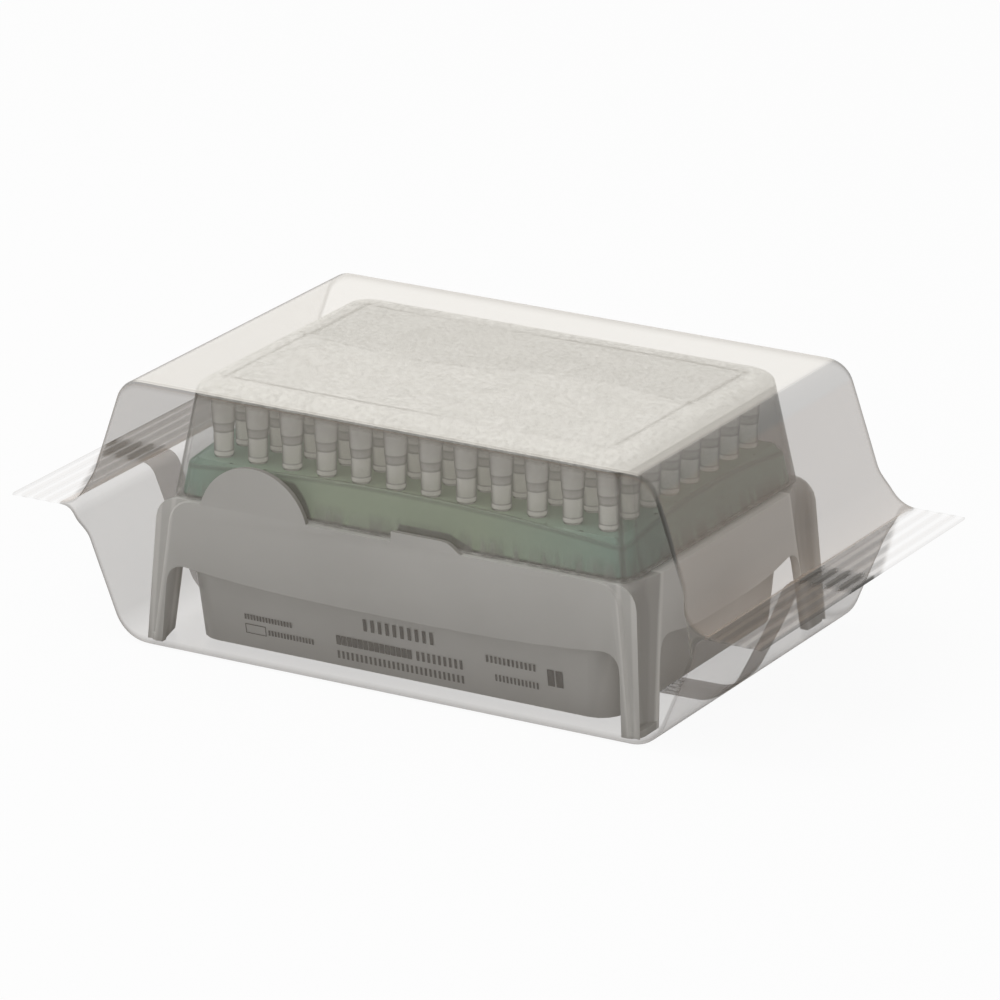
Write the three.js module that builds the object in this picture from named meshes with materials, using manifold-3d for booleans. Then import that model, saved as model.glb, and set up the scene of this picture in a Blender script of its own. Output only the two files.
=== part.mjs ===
// A rack of filtered pipette tips in its sealed flow-wrap film, in millimetres.
// +X runs along the rack, +Y to its back and +Z up; the origin is the bottom centre of the wrap.
import * as THREE from "three";
import { mergeVertices } from "three/addons/utils/BufferGeometryUtils.js";
import Module from "manifold-3d";

const wasm = await Module();
wasm.setup();

// ---- Clearances ----
const fitGap = 0.3; // between two pieces that touch
const cutMargin = 3; // how far a cutter stands out of what it cuts

// ---- Tips and their grid ----
const tipPitch = 9;
const tipRows = 8;
const tipColumns = 12;
const looseRows = 4; // rows from the front whose tips are pieces of their own
const tipSides = 8;
const tipEndRadius = 0.5;
const tipBodyRadius = 1.9;
const tipBodyLength = 38.6; // below the deck
const tipEndClearance = 1.7; // above the tub's floor
const tipNeckRadius = 2.45;
const tipNeckLength = 5.6;
const tipStepLength = 2.4;
const tipCollarRadius = 2.75;
const tipCollarLength = 7.9;
const tipWall = 0.6;
const tipSocketDepth = 7;

// ---- Rack base ----
const rimBeyondLidX = 2.25;
const rimBeyondLidY = 1.5;
const footFlareX = 2.2; // how far the feet stand out beyond the rim
const footFlareY = 2;
const footCornerRadius = 3;
const ledgeCornerRadius = 4;
const baseWall = 1.6;
const ledgeLip = 0.5; // how far the ledge reaches in past the tray's apron
const shelfLift = 21; // from the feet up to the shelf round the tub
const postFootX = 2.35; // each corner post shows this much beside the front or back wall, at the feet
const postRimX = 4.45;
const postStep = 0.7; // how far the post stands back from that wall
const wallTopCurve = 5; // the upper corners of those walls and of the posts are rounded back this far
const fluteFootY = 8.5; // the flute between post and end wall is this wide, at the feet
const fluteRimY = 12.5;
const fluteDepth = 3;
const fluteRimDepth = 1.4; // its depth where it runs out at the rim
const fluteRunOut = 10; // height over which it gets shallower
const fluteLean = 0.62; // below 1 the flute is deepest close to the post
const fluteSteps = 7;
const frontArchHeight = 19.1; // of the gap between two legs, above the feet
const frontArchFootInset = 4.3; // from the wall's end to the gap
const frontArchTopInset = 4.3;
const frontArchSag = 2.7; // how far the skirt's edge hangs lower in the middle
const endArchHeight = 20.8;
const endArchFootInset = 9.1;
const endArchTopInset = 11;
const endArchSag = 3.2;
const archRadius = 5;
const archSteps = 12;
const tubLift = 0.7; // the tub's floor above the feet
const tubTopMarginX = 2.75; // beyond the outermost collars
const tubTopMarginY = 6.75;
const tubFloorMarginX = 1.75;
const tubFloorMarginY = 3.75;
const tubCornerRadius = 6;
const tabCentre = -35.8; // the round tab that stands on the front rim
const tabRadius = 14.3;
const tabRise = 10.7;
const tongueStart = 0; // the raised stretch of the front rim
const tongueWidth = 13;
const tongueRise = 2.4;
const tongueFall = 6.5;

// ---- Tip tray ----
const deckThickness = 1.6;
const deckAboveRim = 8.7;
const trayWall = 1.2;
const apronCornerDrop = 1.5; // the apron's top edge below the deck at the corners
const apronRise = 2.8; // how far that edge arches up between them

// ---- Lid ----
const lidBeyondTipsX = 6.95; // from the outermost tips' collars to the lid's rim
const lidBeyondTipsY = 5.75;
const lidHeadroom = 1.1; // between the tips and the inside of the lid's top
const lidWall = 1.2;
const lidWallLean = 3.6; // how far the walls lean in on their way up to the shoulder
const lidShoulderHeight = 3.2;
const lidShoulderRun = 4; // from the top of the walls in to the flat top
const lidCornerRadius = 4.5;
const panelDepth = 0.4; // the sunk panel at the back of the lid's top
const panelMargin = 0.8;
const panelWave = [
  [-1, 4.4],
  [-0.72, 3.4],
  [-0.37, 1.8],
  [0, 4.8],
  [0.38, 9.2],
  [0.66, 8.6],
  [1, 6],
]; // along the panel's front edge: share of its half length, then distance behind the middle

// ---- Hinge at the back ----
const hingeSpacing = 72;
const hingePinRadius = 0.9;
const hingeClipWall = 0.55;
const hingeClipWidth = 8;
const hingeClipMouth = 0.7; // half the slot through which a clip snaps over its pin
const hingeBehindRim = 0.8;
const hingeBelowRim = 1.5;
const hingeEarWidth = 1.8;
const hingeEarReach = 0.7; // behind the pin

// ---- Film wrap ----
const filmWall = 0.3;
const filmAboveLid = 0.4;
const filmBesideFeet = 1.4;
const filmTopReach = 5.85; // the flat top's corners beyond the base's rim
const filmBottomReach = 4.75; // the flat bottom's corners beyond the feet
const filmRootReach = 12; // each end seal starts this far beyond the flat bottom's corners
const filmTopRadius = 8;
const filmBottomRadius = 9;
const filmRootDrop = 0.4; // the end seal below half height
const filmCornerSetback = 0.2; // inside corners beyond those of an even film, at the top and bottom
const filmRootSetback = 0.45; // and at the end seal
const sealLength = 15.6;
const sealFlare = 2.6; // how much wider the pressed-flat end is on each side
const sealThickness = 0.9;
const sealRidges = 5;
const sealRidgeHeight = 0.5;
const lapWidth = 10; // the strip along the bottom where the film's two edges overlap
const lapEndMargin = 16.4;
const lapJoint = 3; // the part of the overlap that is welded

// ---- Sizes that follow ----
const gridHalfLength = ((tipColumns - 1) / 2) * tipPitch + tipCollarRadius;
const gridHalfWidth = ((tipRows - 1) / 2) * tipPitch + tipCollarRadius;
const lidRimHalfLength = gridHalfLength + lidBeyondTipsX;
const lidRimHalfWidth = gridHalfWidth + lidBeyondTipsY;
const baseRimHalfLength = lidRimHalfLength + rimBeyondLidX;
const baseRimHalfWidth = lidRimHalfWidth + rimBeyondLidY;
const baseFootHalfLength = baseRimHalfLength + footFlareX;
const baseFootHalfWidth = baseRimHalfWidth + footFlareY;
const lidTopInset = lidWallLean + lidShoulderRun;
const trayRimHalfLength = lidRimHalfLength - lidWall - fitGap;
const trayRimHalfWidth = lidRimHalfWidth - lidWall - fitGap;
const ledgeHalfLength = trayRimHalfLength - trayWall - ledgeLip;
const ledgeHalfWidth = trayRimHalfWidth - trayWall - ledgeLip;
const tabThickness = rimBeyondLidY - fitGap;
const hingeClipRadius = hingePinRadius + fitGap + hingeClipWall;
const filmHalfWidth = baseFootHalfWidth + filmBesideFeet + filmWall;
const filmTopHalfLength = baseRimHalfLength + filmTopReach;
const filmBottomHalfLength = baseFootHalfLength + filmBottomReach;
const filmRootHalfLength = filmBottomHalfLength + filmRootReach;
const lapHalfLength = filmBottomHalfLength - lapEndMargin;

// ---- Levels ----
const footZ = filmWall + fitGap;
const shelfZ = footZ + shelfLift;
const tubZ = footZ + tubLift;
const deckZ = tubZ + baseWall + tipEndClearance + tipBodyLength;
const rimZ = deckZ - deckAboveRim;
const baseHeight = rimZ - footZ;
const tipTopZ = deckZ + fitGap + tipNeckLength + tipStepLength + tipCollarLength;
const lidZ = rimZ + fitGap;
const lidTopZ = tipTopZ + lidHeadroom + lidWall;
const lidLean = lidWallLean / (lidTopZ - lidShoulderHeight - lidZ);
const filmHeight = lidTopZ + filmAboveLid + filmWall;
const filmRootZ = filmHeight / 2 - filmRootDrop;
const hingeY = baseRimHalfWidth + hingeBehindRim;
const hingeZ = rimZ - hingeBelowRim;

// ---- Geometry and solids ----

// Outline points of a rectangle with rounded corners at height z, counter-clockwise from above.
function roundedRing(halfLength, halfWidth, radius, z, cornerSteps = 4) {
  const corners = [
    [1, -1, -Math.PI / 2],
    [1, 1, 0],
    [-1, 1, Math.PI / 2],
    [-1, -1, Math.PI],
  ];
  return corners.flatMap(([sx, sy, start]) =>
    Array.from({ length: cornerSteps + 1 }, (_, i) => {
      const angle = start + (i / cornerSteps) * (Math.PI / 2);
      return [
        sx * (halfLength - radius) + radius * Math.cos(angle),
        sy * (halfWidth - radius) + radius * Math.sin(angle),
        z,
      ];
    }),
  );
}

// A ring moved inwards by a distance, each point along the bisector of its two edges.
function insetRing(ring, distance) {
  return ring.map(([x, y, z], i) => {
    const [px, py] = ring.at(i - 1);
    const [nx, ny] = ring[(i + 1) % ring.length];
    const before = new THREE.Vector2(py - y, x - px).normalize();
    const after = new THREE.Vector2(y - ny, nx - x).normalize();
    const shift = before.clone().add(after).multiplyScalar(distance / (1 + before.dot(after)));
    return [x + shift.x, y + shift.y, z];
  });
}

// Closed surface through rings of equal point counts, listed from the lowest up.
function loftGeometry(rings) {
  const count = rings[0].length;
  const positions = rings.flat(2);
  const indices = [];
  for (let level = 0; level + 1 < rings.length; level++) {
    for (let i = 0; i < count; i++) {
      const a = level * count + i;
      const b = level * count + ((i + 1) % count);
      indices.push(a, b, b + count, a, b + count, a + count);
    }
  }
  const cap = rings[0].map(([x, y]) => new THREE.Vector2(x, y));
  const top = (rings.length - 1) * count;
  for (const [a, b, c] of THREE.ShapeUtils.triangulateShape(cap, [])) {
    indices.push(a, c, b, top + a, top + b, top + c);
  }
  const geometry = new THREE.BufferGeometry();
  geometry.setAttribute("position", new THREE.Float32BufferAttribute(positions, 3));
  geometry.setIndex(indices);
  return geometry;
}

// A three.js geometry as a manifold-3d solid.
function solid(geometry) {
  const bare = geometry.clone();
  bare.deleteAttribute("normal");
  bare.deleteAttribute("uv");
  const merged = mergeVertices(bare, 1e-4);
  return new wasm.Manifold(
    new wasm.Mesh({
      numProp: 3,
      vertProperties: merged.attributes.position.array,
      triVerts: new Uint32Array(merged.index.array),
    }),
  );
}

// A manifold-3d solid as a three.js geometry.
function geometryOf(body) {
  const mesh = body.getMesh();
  const geometry = new THREE.BufferGeometry();
  geometry.setAttribute("position", new THREE.Float32BufferAttribute(mesh.vertProperties, 3));
  geometry.setIndex(Array.from(mesh.triVerts));
  geometry.computeVertexNormals();
  return geometry;
}

const loft = (...rings) => solid(loftGeometry(rings));

// A box between two corners.
function block([x0, y0, z0], [x1, y1, z1]) {
  const box = new THREE.BoxGeometry(x1 - x0, y1 - y0, z1 - z0);
  return solid(box.translate((x0 + x1) / 2, (y0 + y1) / 2, (z0 + z1) / 2));
}

// A rod along X.
function rod(radius, x0, x1, y, z, sides = 16) {
  const cylinder = new THREE.CylinderGeometry(radius, radius, x1 - x0, sides);
  return solid(cylinder.rotateZ(Math.PI / 2).translate((x0 + x1) / 2, y, z));
}

// A shape drawn in X and Z, extruded along Y from y0 to y1.
function alongY(shape, y0, y1, curveSegments = 6) {
  const options = { depth: y1 - y0, bevelEnabled: false, curveSegments };
  return solid(new THREE.ExtrudeGeometry(shape, options).rotateX(Math.PI / 2).translate(0, y1, 0));
}

// A shape drawn in Y and Z, extruded along X from x0 to x1.
function alongX(shape, x0, x1, curveSegments = 6) {
  const options = { depth: x1 - x0, bevelEnabled: false, curveSegments };
  const geometry = new THREE.ExtrudeGeometry(shape, options);
  return solid(geometry.rotateX(Math.PI / 2).rotateZ(Math.PI / 2).translate(x0, 0, 0));
}

// A shape drawn in X and Y, extruded from z0 to z1.
function upright(shape, z0, z1, curveSegments = 6) {
  const options = { depth: z1 - z0, bevelEnabled: false, curveSegments };
  return solid(new THREE.ExtrudeGeometry(shape, options).translate(0, 0, z0));
}

// A polygon whose corners are rounded; each corner is [across, up, radius].
function roundedPolygon(corners) {
  const shape = new THREE.Shape();
  corners.forEach(([x, y, radius], i) => {
    const corner = new THREE.Vector2(x, y);
    const before = new THREE.Vector2(...corners.at(i - 1));
    const after = new THREE.Vector2(...corners[(i + 1) % corners.length]);
    const inward = before.sub(corner).normalize();
    const outward = after.sub(corner).normalize();
    const setback = radius / Math.tan(Math.acos(inward.dot(outward)) / 2);
    const start = inward.multiplyScalar(setback).add(corner);
    const end = outward.multiplyScalar(setback).add(corner);
    if (i === 0) shape.moveTo(start.x, start.y);
    else shape.lineTo(start.x, start.y);
    if (radius > 0) shape.quadraticCurveTo(x, y, end.x, end.y);
  });
  return shape;
}

// ---- Tips ----
const columnX = (column) => (column - (tipColumns - 1) / 2) * tipPitch;
const rowY = (row) => (row - (tipRows - 1) / 2) * tipPitch;

// One tip: a tapered body below the deck, a neck that stands on it, and a collar with a socket
// that ends at the filter.
function tipGeometry(seatZ) {
  const neckTop = seatZ + tipNeckLength;
  const collarBottom = neckTop + tipStepLength;
  const top = collarBottom + tipCollarLength;
  const bore = tipCollarRadius - tipWall;
  const profile = [
    [0, seatZ - tipBodyLength],
    [tipEndRadius, seatZ - tipBodyLength],
    [tipBodyRadius, seatZ],
    [tipNeckRadius, seatZ],
    [tipNeckRadius, neckTop],
    [tipCollarRadius, collarBottom],
    [tipCollarRadius, top],
    [bore, top],
    [bore, top - tipSocketDepth],
    [0, top - tipSocketDepth],
  ];
  const points = profile.map(([radius, z]) => new THREE.Vector2(radius, z));
  return new THREE.LatheGeometry(points, tipSides).rotateX(Math.PI / 2).rotateZ(Math.PI / tipSides);
}

// ---- Rack base: skirt with four legs, shelf, tub, ledge, tab and hinge ears in one moulding ----
function baseOutline(z) {
  const share = (z - footZ) / baseHeight;
  const halfLength = THREE.MathUtils.lerp(baseFootHalfLength, baseRimHalfLength, share);
  const halfWidth = THREE.MathUtils.lerp(baseFootHalfWidth, baseRimHalfWidth, share);
  const topShare = THREE.MathUtils.clamp(1 - (rimZ - z) / wallTopCurve, 0, 1);
  const roundedBack = wallTopCurve * (1 - Math.sqrt(1 - topShare * topShare));
  return {
    halfLength,
    halfWidth,
    roundedBack,
    wallEndX: halfLength - THREE.MathUtils.lerp(postFootX, postRimX, share) - roundedBack,
    wallEndY: halfWidth - THREE.MathUtils.lerp(fluteFootY, fluteRimY, share),
  };
}

// The four quarters of an outline from the corner that faces +X and +Y, counter-clockwise.
function mirroredRing(corner, z) {
  const turned = [...corner].reverse();
  return [
    ...corner.map(([x, y]) => [x, -y, z]),
    ...turned.map(([x, y]) => [x, y, z]),
    ...corner.map(([x, y]) => [-x, y, z]),
    ...turned.map(([x, y]) => [-x, -y, z]),
  ];
}

// The skirt's outline at height z. The front and back walls end in a small step, behind which a
// post fills the corner, and a flute hollows the end wall beside the post. The post's upper end is
// rounded back like the wall's.
function skirtRing(z) {
  const { halfLength, halfWidth, roundedBack, wallEndX, wallEndY } = baseOutline(z);
  const postY = halfWidth - postStep;
  const runOut = THREE.MathUtils.smoothstep(rimZ - z, 0, fluteRunOut);
  const depth = THREE.MathUtils.lerp(fluteRimDepth, fluteDepth, runOut);
  const flute = Array.from({ length: fluteSteps }, (_, i) => {
    const share = (i + 1) / (fluteSteps + 1);
    const hollow = depth * Math.sin(Math.PI * share ** fluteLean);
    const postX = halfLength - roundedBack * (1 - share) ** 2;
    return [postX - hollow, THREE.MathUtils.lerp(postY, wallEndY, share)];
  });
  const corner = [
    [wallEndX, halfWidth],
    [wallEndX + postStep, postY],
    [halfLength - roundedBack, postY],
    ...flute,
    [halfLength, wallEndY],
  ];
  return mirroredRing(corner, z);
}

// The inside of the skirt at height z, moved inwards by a distance: straight across behind the corners.
function skirtHollow(z, inset) {
  const { halfLength, halfWidth, wallEndX, wallEndY } = baseOutline(z);
  const corner = [
    [wallEndX - inset, halfWidth - inset],
    [halfLength - inset, wallEndY - inset],
  ];
  return mirroredRing(corner, z);
}

function skirtLevels(from, to) {
  const curve = [0.05, 0.2, 0.4, 0.65, 1].map((share) => rimZ - wallTopCurve * share);
  const fluteTop = [rimZ - fluteRunOut * 0.75, rimZ - fluteRunOut];
  const between = [...curve, ...fluteTop].filter((z) => z > from && z < to);
  return [from, ...between, to].sort((p, q) => p - q);
}

// The foot's outline at height z, with round corners.
function footRing(z) {
  const { halfLength, halfWidth } = baseOutline(z);
  return roundedRing(halfLength, halfWidth, footCornerRadius, z);
}

// The gap under the skirt's edge between two legs, drawn across and up. Its top hangs lower in the
// middle, by a share that falls off with the cube of the distance from there.
function archShape(footHalfSpan, topHalfSpan, height, sag) {
  const slope = (footHalfSpan - topHalfSpan) / height;
  const low = footHalfSpan + slope * cutMargin;
  const top = footZ + height;
  const edge = Array.from({ length: archSteps - 1 }, (_, i) => {
    const share = 1 - (2 * (i + 1)) / archSteps;
    return [topHalfSpan * share, top - sag * (1 - Math.abs(share) ** 3), 0];
  });
  return roundedPolygon([
    [-low, footZ - cutMargin, 0],
    [low, footZ - cutMargin, 0],
    [topHalfSpan, top, archRadius],
    ...edge,
    [-topHalfSpan, top, archRadius],
  ]);
}

function baseSkirt() {
  const outer = loft(...skirtLevels(footZ, rimZ).map(skirtRing));
  const innerLevels = skirtLevels(footZ - cutMargin, rimZ - baseWall);
  const inner = loft(...innerLevels.map((z) => skirtHollow(z, baseWall)));
  const feet = loft(footRing(footZ), footRing(footZ + baseWall));
  const opening = [rimZ - baseWall - cutMargin, rimZ + cutMargin].map((z) =>
    roundedRing(ledgeHalfLength, ledgeHalfWidth, ledgeCornerRadius, z),
  );
  const frontTop = baseOutline(footZ + frontArchHeight);
  const endTop = baseOutline(footZ + endArchHeight);
  const frontArch = archShape(
    baseFootHalfLength - frontArchFootInset,
    frontTop.halfLength - frontArchTopInset,
    frontArchHeight,
    frontArchSag,
  );
  const endArch = archShape(
    baseFootHalfWidth - endArchFootInset,
    endTop.halfWidth - endArchTopInset,
    endArchHeight,
    endArchSag,
  );
  const reachX = baseFootHalfLength + cutMargin;
  const reachY = baseFootHalfWidth + cutMargin;
  return outer
    .add(feet)
    .subtract(inner)
    .subtract(loft(...opening))
    .subtract(alongY(frontArch, -reachY, reachY))
    .subtract(alongX(endArch, -reachX, reachX));
}

function tubRing(z) {
  const share = (z - tubZ) / (shelfZ + baseWall - tubZ);
  return roundedRing(
    gridHalfLength + THREE.MathUtils.lerp(tubFloorMarginX, tubTopMarginX, share),
    gridHalfWidth + THREE.MathUtils.lerp(tubFloorMarginY, tubTopMarginY, share),
    tubCornerRadius,
    z,
  );
}

function baseTub() {
  const shelfTop = shelfZ + baseWall;
  const shelf = loft(...[shelfZ, shelfTop].map((z) => skirtHollow(z, baseWall / 2)));
  const outer = loft(tubRing(tubZ), tubRing(shelfTop));
  const innerLevels = [tubZ + baseWall, shelfTop + cutMargin];
  const inner = loft(...innerLevels.map((z) => insetRing(tubRing(z), baseWall)));
  return shelf.add(outer).subtract(inner);
}

// The round tab and the raised stretch of rim beside it, in the plane of the front wall.
function baseFrontRim() {
  const tabZ = rimZ + tabRise - tabRadius;
  const tab = new THREE.Shape().absarc(tabCentre, tabZ, tabRadius, 0, 2 * Math.PI);
  const low = rimZ - baseWall;
  const high = rimZ + tongueRise;
  const tongueEnd = tongueStart + tongueWidth;
  const tongueFoot = tongueEnd + tongueFall;
  const fallMiddle = tongueEnd + tongueFall / 2;
  const tongue = new THREE.Shape()
    .moveTo(tongueStart, low)
    .lineTo(tongueFoot, low)
    .lineTo(tongueFoot, rimZ - fitGap)
    .bezierCurveTo(fallMiddle, rimZ - fitGap, fallMiddle, high, tongueEnd, high)
    .lineTo(tongueStart, high);
  const front = -baseRimHalfWidth;
  const back = front + tabThickness;
  const keep = block(
    [-baseRimHalfLength, front, low],
    [baseRimHalfLength, back, rimZ + tabRise + cutMargin],
  );
  return alongY(tab, front, back, 24).add(alongY(tongue, front, back)).intersect(keep);
}

const hingePlaces = [-hingeSpacing / 2, hingeSpacing / 2];

function withHingeEars(body) {
  const halfNotch = hingeClipWidth / 2 + fitGap;
  const low = hingeZ - hingeClipRadius - 2 * fitGap;
  const front = hingeY - hingeClipRadius - 2 * fitGap;
  const back = hingeY + hingePinRadius + hingeEarReach;
  return hingePlaces.reduce((piece, x) => {
    const notch = block(
      [x - halfNotch, front, low],
      [x + halfNotch, hingeY + hingeClipRadius + cutMargin, rimZ + cutMargin],
    );
    const ears = [-1, 1].map((side) => {
      const inner = x + side * halfNotch;
      const outer = inner + side * hingeEarWidth;
      return block([Math.min(inner, outer), front, low], [Math.max(inner, outer), back, rimZ]);
    });
    const reach = halfNotch + hingeEarWidth / 2;
    const pin = rod(hingePinRadius, x - reach, x + reach, hingeY, hingeZ);
    return piece.subtract(notch).add(ears[0]).add(ears[1]).add(pin);
  }, body);
}

function makeBase() {
  return withHingeEars(baseSkirt().add(baseTub()).add(baseFrontRim()));
}

// ---- Tip tray: deck with an arched apron, and the tips of the rear rows joined to it ----
function trayRing(z, inset) {
  const lean = (z - rimZ) * lidLean;
  return roundedRing(
    trayRimHalfLength - lean - inset,
    trayRimHalfWidth - lean - inset,
    lidCornerRadius - lidWall - inset,
    z,
  );
}

// The region under the apron's arched edge, drawn across and up. The middle of a cubic curve lies
// three quarters of the way up to its handles.
function apronShape(halfSpan) {
  const low = rimZ - cutMargin;
  const corner = deckZ - apronCornerDrop;
  const handleX = halfSpan / 2;
  const handleZ = corner + apronRise / 0.75;
  return new THREE.Shape()
    .moveTo(-halfSpan, low)
    .lineTo(halfSpan, low)
    .lineTo(halfSpan, corner)
    .bezierCurveTo(handleX, handleZ, -handleX, handleZ, -halfSpan, corner);
}

function makeTray() {
  const bottomZ = rimZ + fitGap;
  const deckBottom = deckZ - deckThickness;
  const apronTop = deckZ - apronCornerDrop + apronRise;
  const outer = loft(trayRing(bottomZ, 0), trayRing(apronTop, 0));
  const inner = loft(trayRing(bottomZ - cutMargin, trayWall), trayRing(apronTop + cutMargin, trayWall));
  const underArch = alongY(apronShape(trayRimHalfLength), -trayRimHalfWidth, trayRimHalfWidth, 16).add(
    alongX(apronShape(trayRimHalfWidth), -trayRimHalfLength, trayRimHalfLength, 16),
  );
  const apron = outer.subtract(inner).intersect(underArch);
  const deck = loft(trayRing(deckBottom, trayWall / 2), trayRing(deckZ, trayWall));
  const holeRadius = (tipBodyRadius + fitGap) / Math.cos(Math.PI / tipSides);
  const hole = solid(
    new THREE.CylinderGeometry(holeRadius, holeRadius, deckThickness + cutMargin, tipSides)
      .rotateX(Math.PI / 2)
      .translate(0, 0, deckZ - deckThickness / 2),
  );
  const joinedTip = solid(tipGeometry(deckZ));
  const holes = [];
  const tips = [];
  for (let row = 0; row < tipRows; row++) {
    for (let column = 0; column < tipColumns; column++) {
      const place = [columnX(column), rowY(row), 0];
      if (row < looseRows) holes.push(hole.translate(place));
      else tips.push(joinedTip.translate(place));
    }
  }
  const plate = apron.add(deck).subtract(wasm.Manifold.union(holes));
  return wasm.Manifold.union([plate, ...tips]);
}

// ---- Lid: leaning walls, rounded shoulder, sunk rear panel and hinge clips ----
function lidRings(inset) {
  const steps = 4;
  const startZ = inset > 0 ? lidZ - cutMargin : lidZ;
  const rings = [lidRing(startZ, lidLean * (startZ - lidZ) + inset, inset)];
  for (let i = 0; i <= steps; i++) {
    const angle = (i / steps) * (Math.PI / 2);
    const lean = lidTopInset - (lidShoulderRun - inset) * Math.cos(angle);
    const rise = (lidShoulderHeight - inset) * Math.sin(angle);
    rings.push(lidRing(lidTopZ - lidShoulderHeight + rise, lean, inset));
  }
  return rings;
}

function lidRing(z, lean, inset) {
  return roundedRing(lidRimHalfLength - lean, lidRimHalfWidth - lean, lidCornerRadius - inset, z);
}

function lidPanel() {
  const halfLength = lidRimHalfLength - lidTopInset - panelMargin;
  const back = lidRimHalfWidth - lidTopInset - panelMargin;
  const wave = new THREE.SplineCurve(
    panelWave.map(([share, y]) => new THREE.Vector2(share * halfLength, y)),
  );
  const rear = [new THREE.Vector2(halfLength, back), new THREE.Vector2(-halfLength, back)];
  const shape = new THREE.Shape([...wave.getPoints(24), ...rear]);
  return upright(shape, lidTopZ - panelDepth, lidTopZ + cutMargin);
}

function hingeClip(x) {
  const [low, high] = [x - hingeClipWidth / 2, x + hingeClipWidth / 2];
  const strapTop = lidZ + lidWall;
  const barrelTop = hingeZ + hingePinRadius + fitGap;
  const wallY = lidRimHalfWidth - lidWall;
  const barrel = rod(hingeClipRadius, low, high, hingeY, hingeZ);
  const strap = block([low, wallY, lidZ], [high, hingeY, strapTop]);
  const web = block([low, hingeY - hingePinRadius, barrelTop], [high, hingeY + hingePinRadius, strapTop]);
  const bore = rod(hingePinRadius + fitGap, low - cutMargin, high + cutMargin, hingeY, hingeZ);
  const slot = block(
    [low - cutMargin, hingeY - hingeClipMouth, hingeZ - hingeClipRadius - cutMargin],
    [high + cutMargin, hingeY + hingeClipMouth, hingeZ],
  );
  return barrel.subtract(bore).subtract(slot).add(strap).add(web);
}

function makeLid() {
  const shell = loft(...lidRings(0)).subtract(loft(...lidRings(lidWall)));
  return shell.subtract(lidPanel()).add(hingeClip(hingePlaces[0])).add(hingeClip(hingePlaces[1]));
}

// ---- Film wrap: a sleeve pressed flat into a ribbed seal at each end ----
function wrapShape(wall, cornerSetback, rootSetback) {
  const high = filmHeight - wall;
  const root = filmRootHalfLength - rootSetback;
  const top = filmTopHalfLength - cornerSetback;
  const bottom = filmBottomHalfLength - cornerSetback;
  return roundedPolygon([
    [-bottom, wall, filmBottomRadius],
    [bottom, wall, filmBottomRadius],
    [root, filmRootZ, 0],
    [top, high, filmTopRadius],
    [-top, high, filmTopRadius],
    [-root, filmRootZ, 0],
  ]);
}

// The end seal's ribbed section, from inside the sleeve's edge outwards.
function sealShape(side) {
  const start = filmRootHalfLength - 2 * filmWall - sealThickness;
  const end = filmRootHalfLength + sealLength;
  const steps = sealRidges * 2;
  const points = [];
  for (let i = 0; i <= steps; i++) {
    const x = THREE.MathUtils.lerp(filmRootHalfLength, end, i / steps);
    points.push([x, filmRootZ + (i % 2 ? sealRidgeHeight : -sealRidgeHeight) / 2]);
  }
  points.unshift([start, filmRootZ]);
  const under = points.map(([x, z]) => new THREE.Vector2(side * x, z - sealThickness / 2));
  const over = points.map(([x, z]) => new THREE.Vector2(side * x, z + sealThickness / 2)).reverse();
  return new THREE.Shape([...under, ...over]);
}

function makeFilm() {
  const inside = filmHalfWidth - filmWall;
  const sealHalfWidth = filmHalfWidth + sealFlare;
  const sleeve = alongY(wrapShape(0, 0, 0), -filmHalfWidth, filmHalfWidth, 8);
  const hollow = alongY(wrapShape(filmWall, filmCornerSetback, filmRootSetback), -inside, inside, 8);
  const seals = [1, -1].map((side) => alongY(sealShape(side), -sealHalfWidth, sealHalfWidth));
  // One edge of the film ends at the slit; the other runs on above it as an inner flap.
  const half = lapWidth / 2;
  const flapZ = 2 * filmWall;
  const flapTop = flapZ + filmWall;
  const strip = (y0, y1, z0, z1) => block([-lapHalfLength, y0, z0], [lapHalfLength, y1, z1]);
  const slit = strip(-half, -half + filmWall, -cutMargin, flapZ);
  const flap = strip(-half - filmWall, half, flapZ, flapTop);
  const joint = strip(half - lapJoint, half, filmWall / 2, flapTop);
  return sleeve.subtract(hollow).subtract(slit).add(flap.add(joint)).add(seals[0]).add(seals[1]);
}

// ---- Materials and the assembled group ----
const filmMaterial = new THREE.MeshStandardMaterial({
  name: "clear_film", color: 0xd8d2c8, roughness: 0.25, transparent: true, opacity: 0.3,
});
const baseMaterial = new THREE.MeshStandardMaterial({
  name: "smoky_plastic", color: 0x928d87, roughness: 0.4,
});
const trayMaterial = new THREE.MeshStandardMaterial({
  name: "green_plastic", color: 0x86957a, roughness: 0.45, transparent: true, opacity: 0.8,
});
const lidMaterial = new THREE.MeshStandardMaterial({
  name: "clear_plastic", color: 0xe3e1dc, roughness: 0.2, transparent: true, opacity: 0.35,
});
const tipMaterial = new THREE.MeshStandardMaterial({
  name: "tip_plastic", color: 0xc9c5be, roughness: 0.35, transparent: true, opacity: 0.8,
});

function piece(name, geometry, material) {
  const mesh = new THREE.Mesh(geometry, material);
  mesh.name = name;
  return mesh;
}

const rack = new THREE.Group();
rack.name = "wrapped_tip_rack";
rack.add(piece("film_wrap", geometryOf(makeFilm()), filmMaterial));
rack.add(piece("base", geometryOf(makeBase()), baseMaterial));
rack.add(piece("tip_tray", geometryOf(makeTray()), trayMaterial));
rack.add(piece("lid", geometryOf(makeLid()), lidMaterial));

const looseTip = tipGeometry(0);
for (let row = 0; row < looseRows; row++) {
  for (let column = 0; column < tipColumns; column++) {
    const name = "tip_" + String.fromCharCode("a".charCodeAt(0) + row) + (column + 1);
    const tip = piece(name, looseTip, tipMaterial);
    tip.position.set(columnX(column), rowY(row), deckZ + fitGap);
    rack.add(tip);
  }
}

export default rack;
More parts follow.
